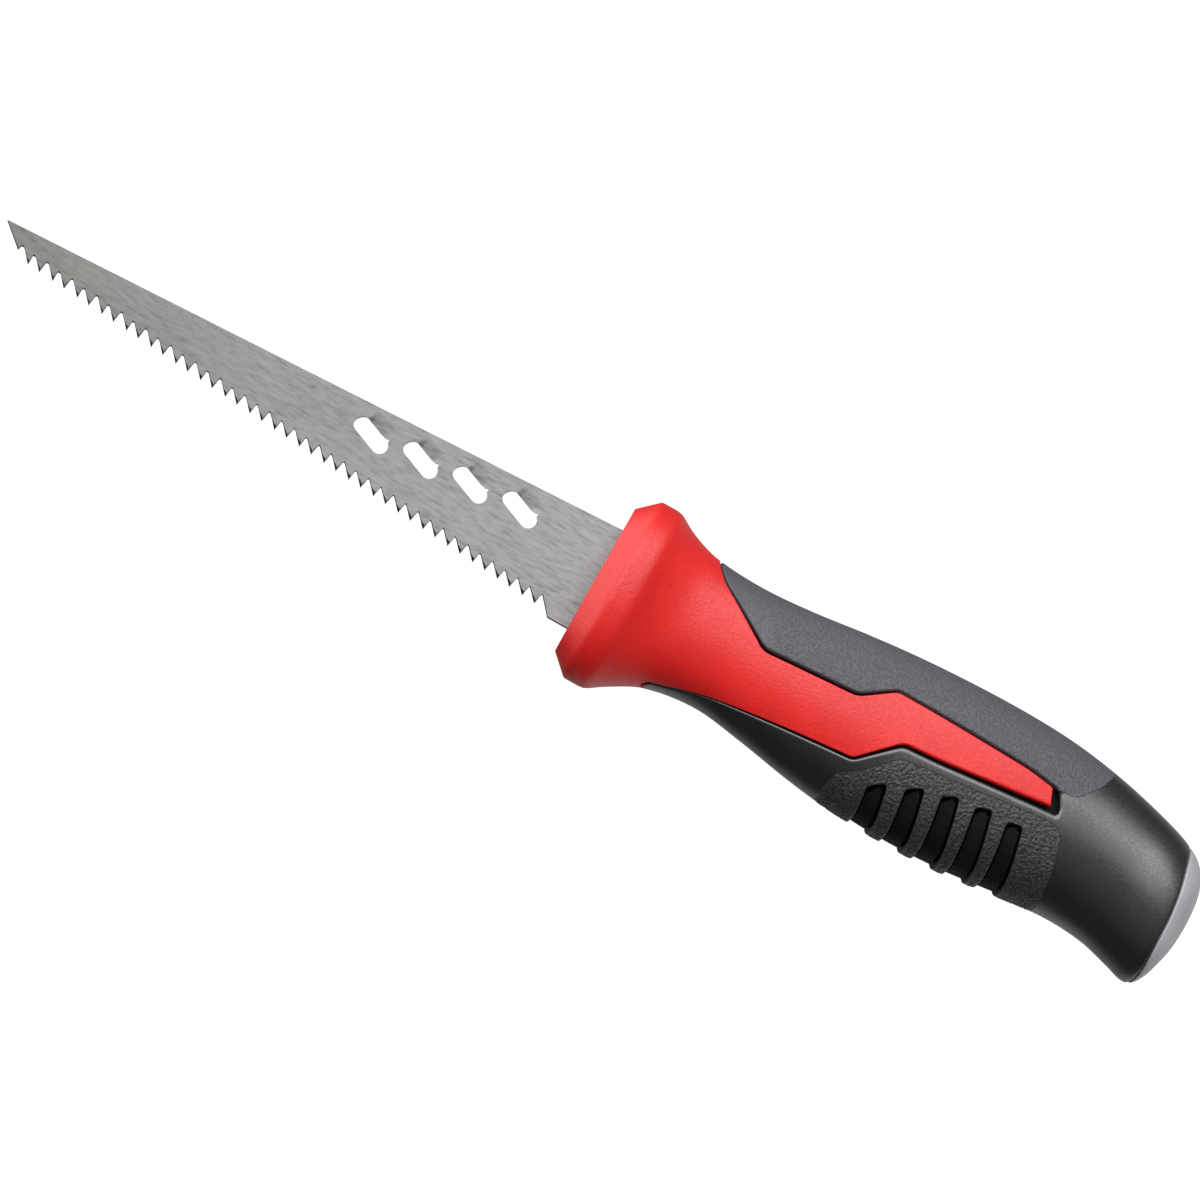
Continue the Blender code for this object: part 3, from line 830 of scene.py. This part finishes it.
class Nodes:
    """Short helpers for building one material."""

    def __init__(self, name, colour, roughness, metallic=0.0):
        self.material = bpy.data.materials.new(name)
        self.material.use_nodes = True
        self.tree = self.material.node_tree
        self.shader = self.tree.nodes["Principled BSDF"]
        self.shader.inputs["Base Color"].default_value = (*colour, 1.0)
        self.shader.inputs["Roughness"].default_value = roughness
        self.shader.inputs["Metallic"].default_value = metallic

    def node(self, kind, **settings):
        node = self.tree.nodes.new(kind)
        for key, value in settings.items():
            setattr(node, key, value)
        return node

    def link(self, source, target):
        self.tree.links.new(source, target)

    def coordinates(self, stretch=(1, 1, 1)):
        place_node = self.node("ShaderNodeTexCoord")
        mapping = self.node("ShaderNodeMapping")
        mapping.inputs["Scale"].default_value = stretch
        self.link(place_node.outputs["Object"], mapping.inputs["Vector"])
        return mapping.outputs["Vector"]

    def noise(self, vector, scale, detail=4.0):
        node = self.node("ShaderNodeTexNoise")
        node.inputs["Scale"].default_value = scale
        node.inputs["Detail"].default_value = detail
        self.link(vector, node.inputs["Vector"])
        return node.outputs["Fac"]

    def ramp(self, value, low, high, start=0.35, end=0.65):
        node = self.node("ShaderNodeMapRange")
        node.inputs["From Min"].default_value = start
        node.inputs["From Max"].default_value = end
        node.inputs["To Min"].default_value = low
        node.inputs["To Max"].default_value = high
        self.link(value, node.inputs["Value"])
        return node.outputs["Result"]

    def mix(self, factor, first, second):
        node = self.node("ShaderNodeMix", data_type="RGBA")
        node.inputs["A"].default_value = (*first, 1.0)
        node.inputs["B"].default_value = (*second, 1.0)
        self.link(factor, node.inputs["Factor"])
        return node.outputs["Result"]

    def beyond(self, direction, start, end):
        """0 up to a plane across the given direction, 1 beyond it; distances in metres."""
        lean = self.node("ShaderNodeVectorMath", operation="DOT_PRODUCT")
        lean.inputs[1].default_value = direction
        self.link(self.coordinates(), lean.inputs[0])
        return self.ramp(lean.outputs["Value"], 0.0, 1.0, start, end)

    def bump(self, height, strength, distance):
        node = self.node("ShaderNodeBump")
        if isinstance(strength, float):
            node.inputs["Strength"].default_value = strength
        else:
            self.link(strength, node.inputs["Strength"])
        node.inputs["Distance"].default_value = distance
        self.link(height, node.inputs["Height"])
        self.link(node.outputs["Normal"], self.shader.inputs["Normal"])


def steel():
    """Ground steel: fine short streaks along the blade, and painted shade that makes it a little darker
    towards the tip.
    """
    nodes = Nodes("blade_steel_look", STEEL_ROOT, 0.42, 1.0)
    streaks = nodes.noise(nodes.coordinates((0.3, 1.2, 1.0)), 1000.0, 6.0)
    clouds = nodes.noise(nodes.coordinates((0.5, 1.0, 1.0)), 60.0, 3.0)
    # Painted shade: the steel is blended darker towards the tip, standing in for how the light falls along
    # the blade.
    painted_shade_along_blade = nodes.mix(nodes.beyond((1.0, 0.0, 0.0), -0.15, 0.0), STEEL_TIP_SHADED, STEEL_ROOT)
    shade = nodes.node("ShaderNodeMath", operation="ADD")
    nodes.link(nodes.ramp(streaks, 0.62, 1.38, 0.3, 0.7), shade.inputs[0])
    nodes.link(nodes.ramp(clouds, -0.05, 0.05), shade.inputs[1])
    tint = nodes.node("ShaderNodeVectorMath", operation="SCALE")
    nodes.link(painted_shade_along_blade, tint.inputs[0])
    nodes.link(shade.outputs["Value"], tint.inputs["Scale"])
    nodes.link(tint.outputs["Vector"], nodes.shader.inputs["Base Color"])
    nodes.link(nodes.ramp(streaks, 0.36, 0.5), nodes.shader.inputs["Roughness"])
    nodes.bump(streaks, 0.5, 0.00005)
    return nodes.material


def plastic(name, colour, other, roughness, grain, relief, gloss=0.5, speckled=False, smooth_nose=False):
    """Moulded plastic or rubber: a fine grain of the given relief in metres, and a faint change of shade."""
    nodes = Nodes(name, colour, roughness)
    nodes.shader.inputs["Specular IOR Level"].default_value = gloss
    fine = nodes.noise(nodes.coordinates(), grain, 3.0)
    clouds = nodes.noise(nodes.coordinates(), 70.0, 2.0)
    shade = nodes.ramp(fine if speckled else clouds, 0.0, 1.0)
    nodes.link(nodes.mix(shade, colour, other), nodes.shader.inputs["Base Color"])
    nodes.link(nodes.ramp(fine, roughness - 0.06, roughness + 0.08), nodes.shader.inputs["Roughness"])
    nodes.bump(fine, nodes.beyond(NOSE_LEAN, *NOSE_LINE) if smooth_nose else 0.5, relief)
    return nodes.material


def make_looks():
    red = plastic(
        "guard_red_look",
        (0.54, 0.013, 0.011),
        (0.49, 0.011, 0.009),
        roughness=0.42,
        grain=1500.0,
        relief=0.00015,
        gloss=0.42,
    )
    grip = plastic(
        "grip_rubber_look",
        (0.072, 0.074, 0.083),
        (0.050, 0.052, 0.060),
        roughness=0.6,
        grain=1700.0,
        relief=0.0004,
        speckled=True,
        smooth_nose=True,
    )
    body = plastic(
        "body_rubber_look",
        (0.009, 0.0095, 0.011),
        (0.007, 0.0075, 0.0085),
        roughness=0.31,
        grain=2500.0,
        relief=0.000015,
        gloss=0.95,
    )
    pad = plastic(
        "pad_rubber_look",
        (0.034, 0.035, 0.039),
        (0.006, 0.0065, 0.007),
        roughness=0.48,
        grain=1500.0,
        relief=0.0010,
        gloss=0.6,
        speckled=True,
    )
    cap = plastic(
        "cap_nylon_look",
        (0.31, 0.315, 0.33),
        (0.26, 0.265, 0.28),
        roughness=0.42,
        grain=2500.0,
        relief=0.00004,
    )
    core = plastic(
        "core_nylon_look",
        (0.004, 0.004, 0.0045),
        (0.003, 0.003, 0.0035),
        roughness=0.7,
        grain=2500.0,
        relief=0.00003,
        gloss=0.15,
    )
    return {
        "blade": ("blade_steel", steel()),
        "guard": ("guard_red", red),
        "upper_grip": ("grip_rubber", grip),
        "grip_body": ("body_rubber", body),
        "finger_pad": ("pad_rubber", pad),
        "butt_cap": ("cap_nylon", cap),
        "handle_core": ("core_nylon", core),
    }


def make_core(look):
    """The core keeps the frame's own mesh, with a new look."""
    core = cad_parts["handle_core"]
    core.data.materials.clear()
    core.data.materials.append(look[1])


# The stage.
AIM = (0.0, 0.0, MID_Z)
LOOK_DOWN = math.radians(15.5)
ROLL = math.radians(29.5)
CAMERA_DISTANCE = 1000.0
LENS_PER_MM = 0.135
SHIFT_RIGHT = 1.78
SHIFT_UP = -4.89
FLOOR_REACH = 4.0
FLOOR_DROP = 0.0004
# Sky lobes: the direction of each, where it starts and is full as a cosine, and its strength.
SKY_LOBES = (
    ((-0.45, 0.40, 0.80), -0.1, 1.0, 0.3),
    ((-0.95, 0.25, 0.15), 0.6, 1.0, 2.7),
    ((0.75, 0.10, -0.65), 0.3, 1.0, 0.7),
)
SKY_LEAST = 0.02


def view_axes():
    back = np.array([0.0, -math.sin(LOOK_DOWN), math.cos(LOOK_DOWN)])
    across = np.array([1.0, 0.0, 0.0])
    raised = np.cross(back, across)
    right = across * math.cos(ROLL) + raised * math.sin(ROLL)
    up = -across * math.sin(ROLL) + raised * math.cos(ROLL)
    return right, up, back


def make_camera():
    right, up, back = view_axes()
    data = bpy.data.cameras.new("camera")
    data.lens = CAMERA_DISTANCE * LENS_PER_MM
    data.sensor_width = 36.0
    data.clip_end = 10.0
    camera = bpy.data.objects.new("camera", data)
    bpy.context.scene.collection.objects.link(camera)
    place_at = np.array(AIM) + back * CAMERA_DISTANCE + right * SHIFT_RIGHT + up * SHIFT_UP
    turn = Matrix(np.stack([right, up, back], 1).tolist()).to_4x4()
    camera.matrix_world = Matrix.Translation(Vector(place_at) * MM) @ turn
    bpy.context.scene.camera = camera


def make_light(name, direction, distance, size, energy, mirrored_in_gloss=True):
    data = bpy.data.lights.new(name, "AREA")
    data.shape = "RECTANGLE"
    data.size, data.size_y = size
    data.energy = energy
    light = bpy.data.objects.new(name, data)
    bpy.context.scene.collection.objects.link(light)
    towards = Vector(direction).normalized()
    light.visible_glossy = mirrored_in_gloss
    light.location = towards * distance
    light.rotation_euler = towards.to_track_quat("Z", "Y").to_euler()


def make_stage():
    data = bpy.data.meshes.new("floor")
    turns = ((-1, -1), (1, -1), (1, 1), (-1, 1))
    data.from_pydata([(x * FLOOR_REACH, y * FLOOR_REACH, 0) for x, y in turns], [], [(0, 1, 2, 3)])
    floor = bpy.data.objects.new("floor", data)
    floor.location = (0, 0, -FLOOR_DROP)
    bpy.context.scene.collection.objects.link(floor)
    nodes = Nodes("floor_look", (0.1, 0.1, 0.1), 0.9)
    soft = nodes.noise(nodes.coordinates(), 3.0)
    nodes.link(nodes.mix(soft, (0.1, 0.1, 0.1), (0.09, 0.09, 0.09)), nodes.shader.inputs["Base Color"])
    nodes.shader.inputs["Emission Color"].default_value = (1.0, 1.0, 1.0, 1.0)
    nodes.shader.inputs["Emission Strength"].default_value = 1.0
    floor.data.materials.append(nodes.material)
    floor.visible_diffuse = False
    floor.visible_glossy = False
    floor.visible_shadow = False
    make_sky()
    make_light("key", (-0.18, 0.5, 0.85), 1.2, (1.3, 0.9), 17.0)
    make_light("fill", (0.5, -0.3, 0.8), 1.2, (0.4, 0.4), 6.5, mirrored_in_gloss=False)
    bpy.context.scene.view_settings.view_transform = "Standard"


def make_sky():
    """A soft sky: brightest low beyond the tip, with weaker light from above and from below the butt."""
    world = bpy.data.worlds.new("world")
    world.use_nodes = True
    tree = world.node_tree
    direction = tree.nodes.new("ShaderNodeTexCoord")
    total = None
    for towards, start, end, strength in SKY_LOBES:
        lean = tree.nodes.new("ShaderNodeVectorMath")
        lean.operation = "DOT_PRODUCT"
        lean.inputs[1].default_value = Vector(towards).normalized()
        spread = tree.nodes.new("ShaderNodeMapRange")
        spread.interpolation_type = "SMOOTHSTEP"
        spread.inputs["From Min"].default_value = start
        spread.inputs["From Max"].default_value = end
        spread.inputs["To Min"].default_value = SKY_LEAST
        spread.inputs["To Max"].default_value = strength
        tree.links.new(direction.outputs["Generated"], lean.inputs[0])
        tree.links.new(lean.outputs["Value"], spread.inputs["Value"])
        if total is None:
            total = spread.outputs["Result"]
            continue
        add = tree.nodes.new("ShaderNodeMath")
        add.operation = "ADD"
        tree.links.new(total, add.inputs[0])
        tree.links.new(spread.outputs["Result"], add.inputs[1])
        total = add.outputs["Value"]
    background = tree.nodes["Background"]
    background.inputs["Color"].default_value = (1.0, 1.0, 1.0, 1.0)
    tree.links.new(total, background.inputs["Strength"])
    bpy.context.scene.world = world


looks = make_looks()
make_blade(looks["blade"])
make_handle(looks)
make_core(looks["handle_core"])
make_stage()
make_camera()
